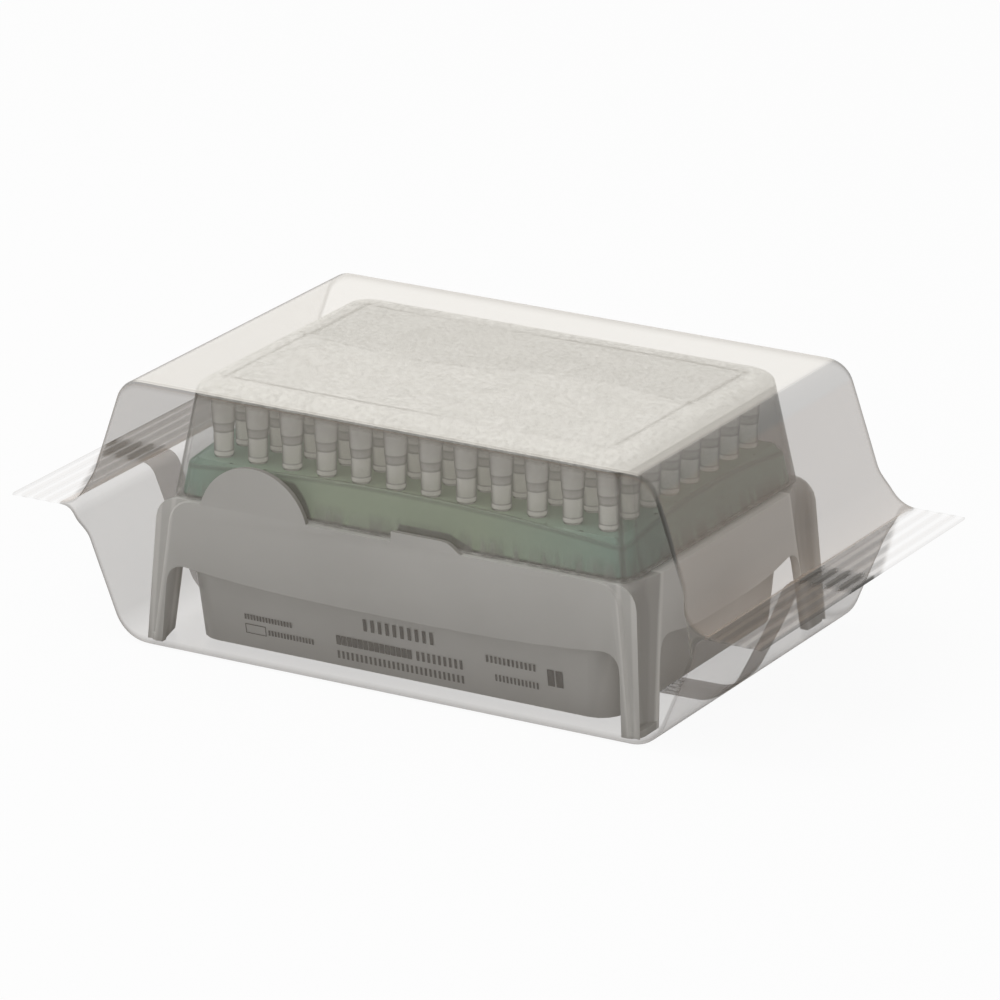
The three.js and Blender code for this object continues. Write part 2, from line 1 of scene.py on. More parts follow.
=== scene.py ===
import bmesh
import bpy
import numpy as np
from mathutils import Matrix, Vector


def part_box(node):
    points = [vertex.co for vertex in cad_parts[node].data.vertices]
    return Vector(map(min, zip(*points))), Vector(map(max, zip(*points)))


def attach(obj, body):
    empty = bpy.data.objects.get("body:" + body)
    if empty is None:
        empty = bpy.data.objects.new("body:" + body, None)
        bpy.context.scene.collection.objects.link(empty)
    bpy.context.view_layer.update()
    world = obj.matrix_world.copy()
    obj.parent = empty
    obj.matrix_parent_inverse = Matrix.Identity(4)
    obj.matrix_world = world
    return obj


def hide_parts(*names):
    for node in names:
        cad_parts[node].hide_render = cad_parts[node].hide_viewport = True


# A wrapped rack of filtered pipette tips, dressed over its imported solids.
# Shapes are worked out in millimetres and put into the meshes in metres.
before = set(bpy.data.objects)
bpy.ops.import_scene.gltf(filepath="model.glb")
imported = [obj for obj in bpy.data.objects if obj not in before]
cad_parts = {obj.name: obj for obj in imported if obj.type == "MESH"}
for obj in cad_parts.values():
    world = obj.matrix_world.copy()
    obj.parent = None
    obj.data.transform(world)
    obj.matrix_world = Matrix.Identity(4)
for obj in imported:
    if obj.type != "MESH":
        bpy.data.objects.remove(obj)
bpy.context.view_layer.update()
scene = bpy.context.scene
scene.view_settings.view_transform = "Standard"
scene.cycles.transparent_max_bounces = 64  # the film, lid and tips lie many layers deep
print("packed solids loaded:", len(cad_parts))

# sizes of the solids that several pieces share, in millimetres
rack = {
    "footZ": 0.6, "rimZ": 34.5, "fitGap": 0.3, "baseHeight": 33.9, "tubZ": 1.3,
    "tabX": -35.8, "tabZ": 30.9, "tabRadius": 14.3,
    "tongueFrom": 0.2, "tongueTo": 13.0, "tongueFade": 6.5, "tongueRise": 2.4,
}


def boxOf(node):
    low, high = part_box(node)
    return np.array(low) * 1000, np.array(high) * 1000


class Signal:
    # a socket that can be added, multiplied and so on; a number may stand on either side
    def __init__(self, finish, socket):
        self.finish, self.socket = finish, socket

    def math(self, operation, *others, clamp=False):
        settings = {"operation": operation, "use_clamp": clamp}
        return self.finish.node("ShaderNodeMath", settings, dict(enumerate([self, *others])))

    def __add__(self, other): return self.math("ADD", other)
    def __radd__(self, other): return self.math("ADD", other)
    def __mul__(self, other): return self.math("MULTIPLY", other)
    def __rmul__(self, other): return self.math("MULTIPLY", other)
    def __sub__(self, other): return self.math("SUBTRACT", other)
    def __rsub__(self, other): return self.finish.number(other).math("SUBTRACT", self)
    def __truediv__(self, other): return self.math("DIVIDE", other)
    def __pow__(self, other): return self.math("POWER", other)

    def clamped(self): return self.math("ADD", 0.0, clamp=True)

    # 0 below low, 1 above high, and a straight line between them
    def between(self, low, high):
        return ((self - low) * (1 / (high - low))).clamped()


class Finish:
    # one material, or the world, and its nodes
    def __init__(self, name, store=bpy.data.materials, output="ShaderNodeOutputMaterial"):
        self.owner = store.new(name)
        self.owner.use_nodes = True
        self.tree = self.owner.node_tree
        self.tree.nodes.clear()
        self.output = output

    # every node is made here: its settings first, then the values or links of its sockets
    def node(self, kind, settings=None, sockets=None, out=0):
        made = self.tree.nodes.new(kind)
        for key, value in (settings or {}).items():
            if key == "stops":
                ramp = made.color_ramp
                while len(ramp.elements) < len(value):
                    ramp.elements.new(0.5)
                for element, (place, colour) in zip(ramp.elements, value):
                    element.position, element.color = place, colour
            else:
                setattr(made, key, value)
        for key, value in (sockets or {}).items():
            if isinstance(value, Signal):
                self.tree.links.new(value.socket, made.inputs[key])
            else:
                made.inputs[key].default_value = value
        return None if out is None else Signal(self, made.outputs[out])

    def number(self, value):
        return self.node("ShaderNodeMath", {"operation": "ADD"}, {0: value, 1: 0.0})

    def place(self):
        return self.node("ShaderNodeTexCoord", out="Object")

    def axis(self, name):
        return self.node("ShaderNodeSeparateXYZ", sockets={0: self.place()}, out=name)

    def attribute(self, name):
        return self.node("ShaderNodeAttribute", {"attribute_name": name}, out="Fac")

    def facing(self):
        return self.node("ShaderNodeLayerWeight", sockets={"Blend": 0.5}, out="Facing")

    def noise(self, scale, detail=2.0, roughness=0.5):
        sockets = {"Vector": self.place(), "Scale": scale, "Detail": detail, "Roughness": roughness}
        return self.node("ShaderNodeTexNoise", sockets=sockets)

    def mixColour(self, factor, first, second):
        settings = {"data_type": "RGBA"}
        sockets = {0: factor, 6: first, 7: second}
        return self.node("ShaderNodeMix", settings, sockets, out=2)

    def bump(self, height, strength, distance):
        sockets = {"Height": height, "Strength": strength, "Distance": distance}
        return self.node("ShaderNodeBump", sockets=sockets)

    def principled(self, sockets):
        return self.node("ShaderNodeBsdfPrincipled", sockets=sockets)

    def mixShader(self, factor, first, second):
        return self.node("ShaderNodeMixShader", sockets={0: factor, 1: first, 2: second})

    def finishWith(self, shader):
        self.node(self.output, sockets={"Surface": shader}, out=None)
        return self.owner


def colour(red, green, blue):
    return (red, green, blue, 1.0)


def grey(value):
    return colour(value, value, value)


# Quads of a grid whose point (i, j) has index i * columns + j.
def gridFaces(rows, columns, closedColumns=False, flip=False):
    i = np.arange(rows - 1)[:, None]
    j = np.arange(columns if closedColumns else columns - 1)[None, :]
    k = (j + 1) % columns
    here, beyond = i * columns, (i + 1) * columns
    quads = np.stack([here + j, here + k, beyond + k, beyond + j], -1).reshape(-1, 4)
    return quads[:, ::-1] if flip else quads


# One mesh from several sheets, each a (points, quads, values) triple; coincident points are merged.
def makePiece(name, sheets, material, body="root", nodes=(), values=(), sharp=None):
    points = np.concatenate([sheet[0].reshape(-1, 3) for sheet in sheets]) * 0.001
    starts = np.cumsum([0] + [sheet[0].reshape(-1, 3).shape[0] for sheet in sheets])
    quads = np.concatenate([sheet[1] + start for sheet, start in zip(sheets, starts)])
    mesh = bpy.data.meshes.new(name)
    mesh.from_pydata(points.tolist(), [], quads.tolist())
    for index, valueName in enumerate(values):
        attribute = mesh.attributes.new(valueName, "FLOAT", "POINT")
        column = np.concatenate([np.ravel(sheet[2 + index]) for sheet in sheets]).astype(np.float32)
        attribute.data.foreach_set("value", column)
    work = bmesh.new()
    work.from_mesh(mesh)
    bmesh.ops.remove_doubles(work, verts=work.verts, dist=2e-6)
    bmesh.ops.dissolve_degenerate(work, edges=work.edges, dist=1e-7)
    work.to_mesh(mesh)
    work.free()
    mesh.shade_smooth()
    if sharp is not None:
        mesh.set_sharp_from_angle(angle=np.radians(sharp))
    mesh.materials.append(material)
    piece = bpy.data.objects.new(name, mesh)
    scene.collection.objects.link(piece)
    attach(piece, body)
    if nodes:
        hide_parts(*nodes)
    return piece


# A point (a, b) of the square from -1 to 1, moved into a rectangle with round corners: the part
# inside the corners' centres stays, and each corner square is squeezed onto its quarter disc.
def roundedPoint(a, b, halfLength, halfWidth, radius):
    x, y = a * halfLength, b * halfWidth
    cx = np.clip(x, radius - halfLength, halfLength - radius)
    cy = np.clip(y, radius - halfWidth, halfWidth - radius)
    dx, dy = x - cx, y - cy
    length = np.maximum(np.hypot(dx, dy), 1e-12)
    squeeze = np.where(length > 1e-9, np.maximum(abs(dx), abs(dy)) / length, 1.0)
    return cx + dx * squeeze, cy + dy * squeeze


# Shares from -1 to 1 across a width, close together inside the round corners.
def edgeShares(half, radius, straight, arc=6):
    bend = radius * (1 - np.tan(np.linspace(np.pi / 4, 0, arc)))
    inner = np.linspace(radius - half, half - radius, straight)
    return np.concatenate([bend[:-1] - half, inner, half - bend[:-1][::-1]]) / half


# The perimeter of a grid of shares, anticlockwise from the front left corner.
def perimeter(a, b):
    return tuple(
        np.concatenate([g[0, :-1], g[:-1, -1], g[-1, :0:-1], g[:0:-1, 0]]) for g in (a, b)
    )


# Rings through (inset, z, radius) levels round a rectangle; ring points come from (a, b) shares.
def ringSheet(a, b, halfLength, halfWidth, levels, flip=False):
    inset, z, radius = (np.array(column, float)[:, None] for column in zip(*levels))
    x, y = roundedPoint(a[None, :], b[None, :], halfLength - inset, halfWidth - inset, radius)
    points = np.stack([x, y, np.broadcast_to(z, x.shape)], -1)
    return points, gridFaces(len(levels), len(a), closedColumns=True, flip=flip)


def smooth(value):
    value = np.clip(value, 0, 1)
    return value * value * (3 - 2 * value)


def makeFilmFinish():
    look = {
        # the colour of the painted shade on the seals' ridges, the lap, the upright edges and the fold
        "crease": colour(0.06, 0.056, 0.048), "creaseFrom": 0.06, "creaseTo": 0.45,
        # colour and density, from a level underside through upright sheets to a level top; the colour is
        # painted light and shade, dark underneath and light on top
        "haze": [(0.32, colour(0.2, 0.145, 0.1)), (0.5, colour(0.22, 0.185, 0.15)),
                 (0.67, colour(0.26, 0.18, 0.12)), (0.72, colour(0.1, 0.085, 0.065)),
                 (0.975, colour(0.14, 0.12, 0.1)), (0.995, colour(0.84, 0.79, 0.7))],
        "density": [(0.0, grey(0.09)), (0.3, grey(0.28)), (0.5, grey(0.24)), (0.67, grey(0.34)),
                    (0.73, grey(0.3))],
        "edgeDensity": 0.5, "edgePower": 7.0, "gloss": 0.3, "glossPower": 2.5, "leastGloss": 0.01,
        "sealGloss": 0.1, "sheen": colour(1.0, 0.97, 0.93), "roughness": 0.3, "specular": 0.2,
        "crinkleScale": 38.0, "crinkle": 0.12, "crinkleDepth": 0.0006,
    }
    finish = Finish("clearFilm")
    facing = finish.facing()
    seal, crease, rise = (finish.attribute(name) for name in ("seal", "crease", "rise"))
    clear = 1.0 - seal
    crinkle = finish.noise(look["crinkleScale"], 3.0) * clear
    bump = finish.bump(crinkle, look["crinkle"], look["crinkleDepth"])
    upward = rise * 0.5 + 0.5
    haze = finish.node("ShaderNodeValToRGB", {"stops": look["haze"]}, {0: upward})
    density = finish.node("ShaderNodeValToRGB", {"stops": look["density"]}, {0: upward})
    alpha = (density + (facing ** look["edgePower"]) * look["edgeDensity"]) * clear + crease
    gloss = (facing ** look["glossPower"]) * look["gloss"] * (1.0 - seal * (1 - look["sealGloss"]))
    # painted shade from the ridges, the lap, the upright edges and the fold darkens the colour
    filmShaded = crease.between(look["creaseFrom"], look["creaseTo"])
    body = finish.principled({
        "Base Color": finish.mixColour(filmShaded, haze, look["crease"]), "Roughness": look["roughness"],
        "Specular IOR Level": look["specular"], "Alpha": alpha.clamped(), "Normal": bump,
    })
    sheen = finish.node("ShaderNodeBsdfGlossy", sockets={
        "Color": look["sheen"], "Roughness": look["roughness"], "Normal": bump,
    })
    return finish.finishWith(finish.mixShader((gloss + look["leastGloss"]).clamped(), body, sheen))


def makeBaseFinish():
    look = {
        "light": colour(0.525, 0.52, 0.5), "dark": colour(0.475, 0.47, 0.45),
        "shade": colour(0.2, 0.195, 0.18), "glint": colour(0.8, 0.79, 0.76),
        # half sizes at the foot, and how much each shrinks up to the rim
        "halfLength": 63.65, "lengthLean": 2.2, "halfWidth": 43.5, "widthLean": 2.0,
        "postInset": 2.35, "postLean": 2.1, "fluteInset": 8.5, "fluteLean": 4.0,
        "fluteShade": 0.55, "edgeShade": 0.8, "lineGlint": 0.45, "endLift": 0.45, "tubLift": 0.6,
        "roughness": 0.4, "cloudScale": 26.0, "grainScale": 2600.0, "grain": 0.1, "grainDepth": 0.0001,
    }
    finish = Finish("smokyPlastic")
    cloud = finish.noise(look["cloudScale"], 3.0).between(0.3, 0.7)
    # distances from the middle of the base, and how far up the base they are taken
    x, y = (finish.axis(name).math("ABSOLUTE") * 1000.0 for name in "XY")
    share = (finish.axis("Z") * 1000.0 - rack["footZ"]) / rack["baseHeight"]
    halfLength = look["halfLength"] - share * look["lengthLean"]
    halfWidth = look["halfWidth"] - share * look["widthLean"]
    # painted shade darkens the flutes beside the corner posts, between two painted highlight lines
    fromPost = x - (halfLength - share * look["postLean"] - look["postInset"])
    fromFlute = y - (halfWidth - share * look["fluteLean"] - look["fluteInset"])
    outside = (y - halfWidth + 1.6).clamped() * (fromPost + 1.5).clamped()
    atEnd = (x - halfLength + 4.5).clamped()
    flute = fromFlute.between(0.2, 0.9) * (1.0 - (y - halfWidth).between(-1.3, -0.7))
    flute = flute * fromPost.between(-0.5, 0.5)
    postLine = (1.0 - fromPost.math("ABSOLUTE").between(0.25, 0.8)) * outside
    fluteLine = (1.0 - fromFlute.math("ABSOLUTE").between(0.25, 0.8)) * atEnd
    # the end walls and the tub's ends catch more light
    endWall = (x - halfLength).between(-1.6, -1.2)
    tubEnd = (1.0 - (x - halfLength).between(-3.0, -2.4)) * x.between(49.0, 53.0)
    tubEnd = tubEnd * (1.0 - (y - halfWidth).between(-5.0, -3.5))
    lift = (endWall * look["endLift"] + tubEnd * look["tubLift"]).clamped()
    shade = (flute * look["fluteShade"] + finish.attribute("rimEdge") * look["edgeShade"]).clamped()
    glint = ((postLine + fluteLine) * look["lineGlint"]).clamped()
    body = finish.mixColour(cloud, look["dark"], look["light"])
    body = finish.mixColour(lift, body, look["glint"])
    body = finish.mixColour(shade, body, look["shade"])
    return finish.finishWith(finish.principled({
        "Base Color": finish.mixColour(glint, body, look["glint"]),
        "Roughness": cloud * 0.08 + look["roughness"],
        "Normal": finish.bump(finish.noise(look["grainScale"]), look["grain"], look["grainDepth"]),
    }))


def makeTrayFinish():
    look = {
        "middle": colour(0.36, 0.45, 0.31), "end": colour(0.25, 0.4, 0.33),
        # the gap colour is the painted shadow in the gap between the tray and the base
        "gap": colour(0.06, 0.07, 0.055), "gapShade": 0.85, "sideGap": 0.5, "edgeShade": 0.4,
        "endFrom": 20.0, "endTo": 58.0, "frontY": -34.5, "arcTopZ": 41.8, "alpha": 0.94,
        "roughness": 0.35, "cloudScale": 30.0, "grainScale": 2400.0, "grain": 0.08, "grainDepth": 0.0001,
    }
    finish = Finish("greenPlastic")
    x, y, z = (finish.axis(name) * 1000.0 for name in "XYZ")
    # painted shadow of the gap, dark along the rim, round the tab and over the raised stretch of the rim
    aside, above = x - rack["tabX"], z - rack["tabZ"]
    away = (aside * aside + above * above).math("SQRT") - rack["tabRadius"]
    arc = (1.0 - away.between(-0.6, -0.1)) * (1.0 - z.between(look["arcTopZ"], look["arcTopZ"] + 0.8))
    tongueEnd = x.between(rack["tongueTo"], rack["tongueTo"] + rack["tongueFade"])
    tongue = x.between(-0.5, rack["tongueFrom"]) * (1.0 - tongueEnd) * rack["tongueRise"]
    low = 1.0 - (z - rack["rimZ"] - tongue).between(0.4, 0.9)
    front = 1.0 - y.between(look["frontY"], look["frontY"] + 0.5)
    gap = front * (1.0 - (1.0 - arc) * (1.0 - low)) + (1.0 - front) * low * look["sideGap"]
    dark = gap.clamped() * look["gapShade"] + finish.attribute("edge") * look["edgeShade"]
    across = x.math("ABSOLUTE").between(look["endFrom"], look["endTo"])
    body = finish.mixColour(across, look["middle"], look["end"])
    return finish.finishWith(finish.principled({
        "Base Color": finish.mixColour(dark.clamped(), body, look["gap"]),
        "Roughness": finish.noise(look["cloudScale"]) * 0.1 + look["roughness"],
        "Alpha": look["alpha"],
        "Normal": finish.bump(finish.noise(look["grainScale"]), look["grain"], look["grainDepth"]),
    }))


def makeLidFinish():
    look = {
        "clear": colour(0.5, 0.49, 0.46), "frost": colour(0.9, 0.9, 0.89),
        "edge": colour(0.05, 0.05, 0.042), "bright": colour(0.93, 0.93, 0.91),
        "through": colour(0.9, 0.9, 0.88), "throughShare": 0.4, "rimPower": 6.0, "rimDensity": 0.6,
        "speckleScale": 900.0, "patchScale": 160.0, "speckleDark": 0.5, "patchDark": 0.1,
        "frostLift": 0.06, "speckleClear": 0.1, "patchClear": 0.04, "lineDark": 1.6,
        "roughness": 0.3, "frostRoughness": 0.25, "speckle": 0.3, "speckleDepth": 0.0002,
    }
    finish = Finish("frostedLid")
    haze, dark = finish.attribute("haze"), finish.attribute("dark")
    speckle = finish.noise(look["speckleScale"], 3.0, 0.65).between(0.35, 0.65)
    patches = finish.noise(look["patchScale"]).between(0.3, 0.7)
    frost = haze.between(0.45, 0.8)
    # painted shade: the clear walls darken towards their outlines, where they are seen edge on
    rim = (finish.facing() ** look["rimPower"]) * (1.0 - frost)
    clearer = frost * speckle * look["speckleClear"] + frost * patches * look["patchClear"]
    alpha = haze - clearer + dark + rim * look["rimDensity"]
    body = finish.mixColour(frost, look["clear"], look["frost"])
    body = finish.mixColour(haze.between(0.965, 1.0), body, look["bright"])
    mottle = speckle * look["speckleDark"] + patches * look["patchDark"] - look["frostLift"]
    # the colour goes towards the edge colour by painted shade (the dark attribute's ends, corner lines,
    # rear corners and band under the shoulder, and the clear walls' outlines) and by the darkness of the
    # panel, the thin lines, the rim and the ticks, and the frost's speckle
    darkened = (dark * look["lineDark"] + rim + frost * mottle).clamped()
    bump = finish.bump(speckle, look["speckle"], look["speckleDepth"])
    shell = finish.principled({
        "Base Color": finish.mixColour(darkened, body, look["edge"]),
        "Roughness": frost * look["frostRoughness"] + look["roughness"],
        "Alpha": alpha.clamped(), "Normal": bump,
    })
    # light passes through the frosted part to the tips
    sockets = {"Color": look["through"], "Normal": bump}
    through = finish.node("ShaderNodeBsdfTranslucent", sockets=sockets)
    return finish.finishWith(finish.mixShader(frost * look["throughShare"], shell, through))


def makeTipFinish():
    look = {
        "dark": colour(0.14, 0.135, 0.125), "light": colour(0.93, 0.91, 0.87),
        "glow": colour(0.15, 0.146, 0.135), "through": colour(0.85, 0.84, 0.8), "throughShare": 0.4,
        "outlineFrom": 0.3, "outlineTo": 0.75, "outline": 0.9, "alpha": 0.9, "roughness": 0.35,
        "grainScale": 500.0, "grain": 0.05, "cloudScale": 90.0,
    }
    finish = Finish("tipPlastic")
    # painted shade: the tips darken towards their outlines, where they are seen edge on; a real grain is
    # added to the shaded tone
    outline = finish.facing().between(look["outlineFrom"], look["outlineTo"])
    tone = finish.attribute("tone") * (1.0 - outline * look["outline"])
    tone = (tone + finish.noise(look["grainScale"]) * look["grain"]).clamped()
    through = finish.node("ShaderNodeBsdfTranslucent", sockets={"Color": look["through"]})
    shell = finish.principled({
        "Base Color": finish.mixColour(tone, look["dark"], look["light"]),
        "Roughness": finish.noise(look["cloudScale"]) * 0.1 + look["roughness"],
        "Alpha": look["alpha"],
        # painted glow: the tips give off a little light where the shaded tone is high, for light
        # scattered inside them
        "Emission Color": finish.mixColour(tone, grey(0), look["glow"]),
        "Emission Strength": 1.0,
    })
    return finish.finishWith(finish.mixShader(tone * look["throughShare"], shell, through))


def makePrintFinish():
    look = {"fresh": colour(0.1, 0.098, 0.092), "worn": colour(0.14, 0.137, 0.13),
            "wearScale": 900.0, "roughness": 0.55}
    finish = Finish("printInk")
    wear = finish.noise(look["wearScale"]).between(0.3, 0.8)
    return finish.finishWith(finish.principled({
        "Base Color": finish.mixColour(wear, look["fresh"], look["worn"]), "Roughness": look["roughness"],
    }))


finishes = {
    "film": makeFilmFinish(), "base": makeBaseFinish(), "tray": makeTrayFinish(),
    "lid": makeLidFinish(), "tip": makeTipFinish(), "print": makePrintFinish(),
}
print("finishes made")

filmShape = {
    # reaches and roots: half lengths of the flat top and bottom, and of the slopes' outer ends
    "halfWidth": 45.2, "topReach": 67.3, "bottomReach": 68.4, "topRoot": 78.4, "bottomRoot": 80.4,
    "topRadius": 6.5, "bottomRadius": 9.0, "topRootRadius": 7.5, "bottomRootRadius": 4.0,
    "edgeRadius": 0.8, "rootDrop": 0.4, "droop": 1.7, "droopFrom": 68.0, "droopLength": 15.0,
    "slopeStations": 90, "sealStations": 82,
    # the pressed-flat ends, and their painted shade
    "sealHeight": 0.7, "crimpStart": 83.4, "crimpPitch": 3.2, "crimpHeight": 0.06,
    "flareHeight": 13.0, "flareFrom": 6.0, "flarePower": 1.3,
    "sealAlpha": 0.2, "ridgeAlpha": 0.24, "clearAlpha": 0.02, "clearRidge": 0.08,
    "clearFrom": 40.5, "clearSlope": 2.5,
    # the lap under the bottom, and its painted shade
    "lapWidth": 10.5, "lapPlace": -5.7, "lapSkew": 4.0, "lapBow": -6.5, "lapLines": 5,
    "lapRipple": 0.05, "lapLift": 0.22, "lapThickness": 0.08, "lapAlpha": 0.48, "lapFaint": 0.1,
    "lapRise": -0.4,
    # the upright edges, and the fold in the front right one, both with painted shade
    "edgeAlpha": 0.22, "edgeWidth": 1.6, "foldAlpha": 0.75, "foldPlace": 51.0, "foldSpan": 6.0,
    "slopeFrom": 74.0, "slopeRise": 0.32,
}


# Points along a polyline from the middle of the wrap to its end, its corners rounded by arcs:
# each arc starts and ends one setback from the corner and turns evenly between the two lines.
def roundedPath(corners, radii, steps=14):
    corners = np.array(corners, float)
    path = [corners[:1]]
    for before, corner, after, radius in zip(corners[:-2], corners[1:-1], corners[2:], radii):
        u = (before - corner) / np.linalg.norm(before - corner)
        w = (after - corner) / np.linalg.norm(after - corner)
        half = np.arccos(np.clip(u @ w, -1, 1)) / 2
        middle = corner + (u + w) / np.linalg.norm(u + w) * radius / np.sin(half)
        t = np.linspace(0, 1, steps)[:, None]
        spoke = (1 - t) * (corner + u * radius / np.tan(half) - middle)
        spoke = spoke + t * (corner + w * radius / np.tan(half) - middle)
        path.append(middle + spoke / np.linalg.norm(spoke, axis=1)[:, None] * radius)
    path.append(corners[-1:])
    return np.concatenate(path)


# The same path at given shares of two stretches: from the middle to x = root, and on to the end.
def resample(path, root, shares, sealShares):
    length = np.concatenate([[0], np.cumsum(np.hypot(*np.diff(path, axis=0).T))])
    atRoot = np.interp(root, path[:, 0], length)
    stations = np.concatenate([shares * atRoot, atRoot + sealShares[1:] * (length[-1] - atRoot)])
    return np.stack([np.interp(stations, length, path[:, k]) for k in (0, 1)], -1)


def filmPaths(shape):
    low, high = boxOf("film_wrap")
    rootZ = (low[2] + high[2]) / 2 - shape["rootDrop"]
    half = shape["sealHeight"] / 2
    end = high[0]
    shares = np.linspace(0, 1, shape["slopeStations"]) ** 0.8
    sealShares = np.linspace(0, 1, shape["sealStations"])
    paths = []
    for name, z, side in (("top", high[2], 1), ("bottom", low[2], -1)):
        reach, root = shape[name + "Reach"], shape[name + "Root"]
        corners = [(0, z), (reach, z), (root, rootZ + side * half), (end, rootZ + side * half)]
        radii = [shape[name + "Radius"], shape[name + "RootRadius"]]
        path = resample(roundedPath(corners, radii), root, shares, sealShares)
        beyond = path[:, 0] - shape["crimpStart"]
        ridge = np.sin(beyond / shape["crimpPitch"] * 2 * np.pi) * smooth(beyond / 0.6)
        path[:, 1] += np.where(beyond > 0, ridge * shape["crimpHeight"], 0)
        paths.append(path)
    return paths


# The middle line of the lap: place + skew * x / 88.
def lapLine(shape, x):
    return shape["lapPlace"] + shape["lapSkew"] * x / 88


# How far a point of the wrap belongs to the pressed-flat ends, and its painted shade there: the
# ridged stretch is hazier, with painted shade as dark lines along the ridges, and fades out towards
# one corner. The lap and the upright edges get painted shade too.
def sealLook(shape, points, lap=0.0, edge=0.0):
    x, y, z = points[..., 0], points[..., 1], points[..., 2]
    out = abs(x)
    ridged = smooth((out - shape["crimpStart"] + 0.5) / 0.5)
    seal = ridged * smooth((9 - abs(z - 30.5)) / 3)
    wave = np.cos((out - shape["crimpStart"]) / shape["crimpPitch"] * 2 * np.pi)
    line = smooth((wave + 0.1) / 1.0)
    inLap = smooth((shape["lapWidth"] / 2 + 0.4 - abs(y - lapLine(shape, x))) / 0.8)
    limit = shape["clearFrom"] - np.sign(x) - (out - 83) * shape["clearSlope"]
    shown = 1 - smooth((y * np.sign(x) - limit + 1) / 3)
    dark = shape["sealAlpha"] + shape["ridgeAlpha"] * line
    dark = dark + shape["lapAlpha"] * inLap * (0.45 + 0.55 * line)
    faint = shape["clearAlpha"] + shape["clearRidge"] * line
    crease = seal * (faint + (dark - faint) * shown)
    # painted shade runs as dark lines down the upright edges; the front right one has a painted dark fold
    fold = np.exp(-((z - shape["foldPlace"]) / shape["foldSpan"]) ** 2) * (x > 0) * (y < 0)
    edge = np.clip(edge, 0, 1) * (1 - seal)
    return seal, crease + lap * (1 - seal) + edge * (shape["edgeAlpha"] + shape["foldAlpha"] * fold)


# One more ring before and after the others, pressed flat at its mean height, to close the ends.
def closeEnds(points):
    ends = points[[0, -1]].copy()
    ends[..., 2] = ends[..., 2].mean(axis=1, keepdims=True)
    return np.concatenate([ends[:1], points, ends[1:]])


# The sleeve: at each station a rectangle with round corners stands between the bottom path and
# the top path; its width grows from the rack's to the seal's as its height falls to nothing.
def sleeveSheet(shape, top, bottom, sealHalfWidth):
    height = np.maximum(np.hypot(*(top - bottom).T)[:, None], shape["sealHeight"])
    flat = 1 - smooth((height - shape["flareFrom"]) / shape["flareHeight"])
    width = shape["halfWidth"] + (sealHalfWidth - shape["halfWidth"]) * flat ** shape["flarePower"]
    a, b = np.meshgrid(edgeShares(45, 2.5, 68), edgeShares(30, 4, 28))
    a, b = perimeter(a, b)
    radius = np.minimum(shape["edgeRadius"], height * 0.48)
    y, lift = roundedPoint(a[None, :], b[None, :], width, height / 2, radius)
    share = lift / height + 0.5
    x = bottom[:, :1] + (top[:, :1] - bottom[:, :1]) * share
    z = bottom[:, 1:] + (top[:, 1:] - bottom[:, 1:]) * share
    points = np.stack([x, y, z], -1)
    # how far each face looks up, which sets the film's painted light and shade: 1 on a level top, 0 on
    # the front and back, -1 on a level bottom; beyond slopeFrom it is held at slopeRise at most
    upper, lower = (np.gradient(path[:, 0]) / np.hypot(*np.gradient(path, axis=0).T)
                    for path in (top, bottom))
    rise = np.where(b > 0.999, upper[:, None], np.where(b < -0.999, -lower[:, None], 0))
    rise = np.where(abs(x) > shape["slopeFrom"], np.minimum(rise, shape["slopeRise"]), rise)
    # the edges where the front and back meet the top and the slopes, darkened by painted shade
    inset = shape["edgeWidth"]
    edge = smooth((inset - (width - abs(y))) / 0.8) * smooth((inset - (height / 2 - abs(lift))) / 0.8)
    points = closeEnds(points)
    rise, edge = (np.concatenate([value[:1], value, value[-1:]]) for value in (rise, edge))
    faces = gridFaces(len(points), len(a), closedColumns=True)
    return points, faces, *sealLook(shape, points, edge=edge), rise


# The lap: a thin flat tube along the inside of the bottom path, with ripples along it, whose
# middle line is moved by bow under the right end of the box.
def lapSheet(shape, bottom):
    across = np.linspace(-1, 1, 41)
    ripple = np.sin(across * np.pi * shape["lapLines"]) * shape["lapRipple"]
    around = np.concatenate([across, across[::-1]]) * shape["lapWidth"] / 2
    lift = np.concatenate([ripple, ripple[::-1] + shape["lapThickness"]]) + shape["lapLift"]
    path = bottom[abs(bottom[:, 0]) < shape["crimpStart"]]
    x = path[:, :1] + 0 * around
    bow = shape["lapBow"] * smooth((77 - x) / 13) * smooth(x / 30)
    y = around[None, :] + lapLine(shape, x) + bow
    points = closeEnds(np.stack([x, y, path[:, 1:] + lift[None, :]], -1))
    faces = gridFaces(len(points), points.shape[1], closedColumns=True)
    # the lap takes the painted light and shade of a sheet that looks partly down
    rise = np.full(points.shape[:2], shape["lapRise"])
    return points, faces, *sealLook(shape, points, lap=shape["lapFaint"]), rise


def makeFilm(shape):
    high = boxOf("film_wrap")[1]
    top, bottom = (np.concatenate([path[:0:-1] * [-1, 1], path]) for path in filmPaths(shape))
    for path in (top, bottom):  # the right end seal hangs a little lower
        path[:, 1] -= shape["droop"] * smooth((path[:, 0] - shape["droopFrom"]) / shape["droopLength"])
    sheets = [sleeveSheet(shape, top, bottom, high[1]), lapSheet(shape, bottom)]
    return makePiece("film_sleeve", sheets, finishes["film"], nodes=["film_wrap"],
                     values=["seal", "crease", "rise"], sharp=50)


makeFilm(filmShape)
print("film wrap made")

tipShape = {
    "pitch": 9.0, "rows": 8, "columns": 12, "looseRows": 4, "sides": 24, "gap": 0.3,
    "endRadius": 0.5, "bodyRadius": 1.9, "bodyLength": 38.6, "neckRadius": 2.3, "neckLength": 5.6,
    "stepLength": 2.4, "collarRadius": 2.62, "topRadius": 2.95, "collarLength": 7.9, "wall": 0.6,
    "socketDepth": 7.0, "round": 0.15, "beadHeight": 1.1,
}


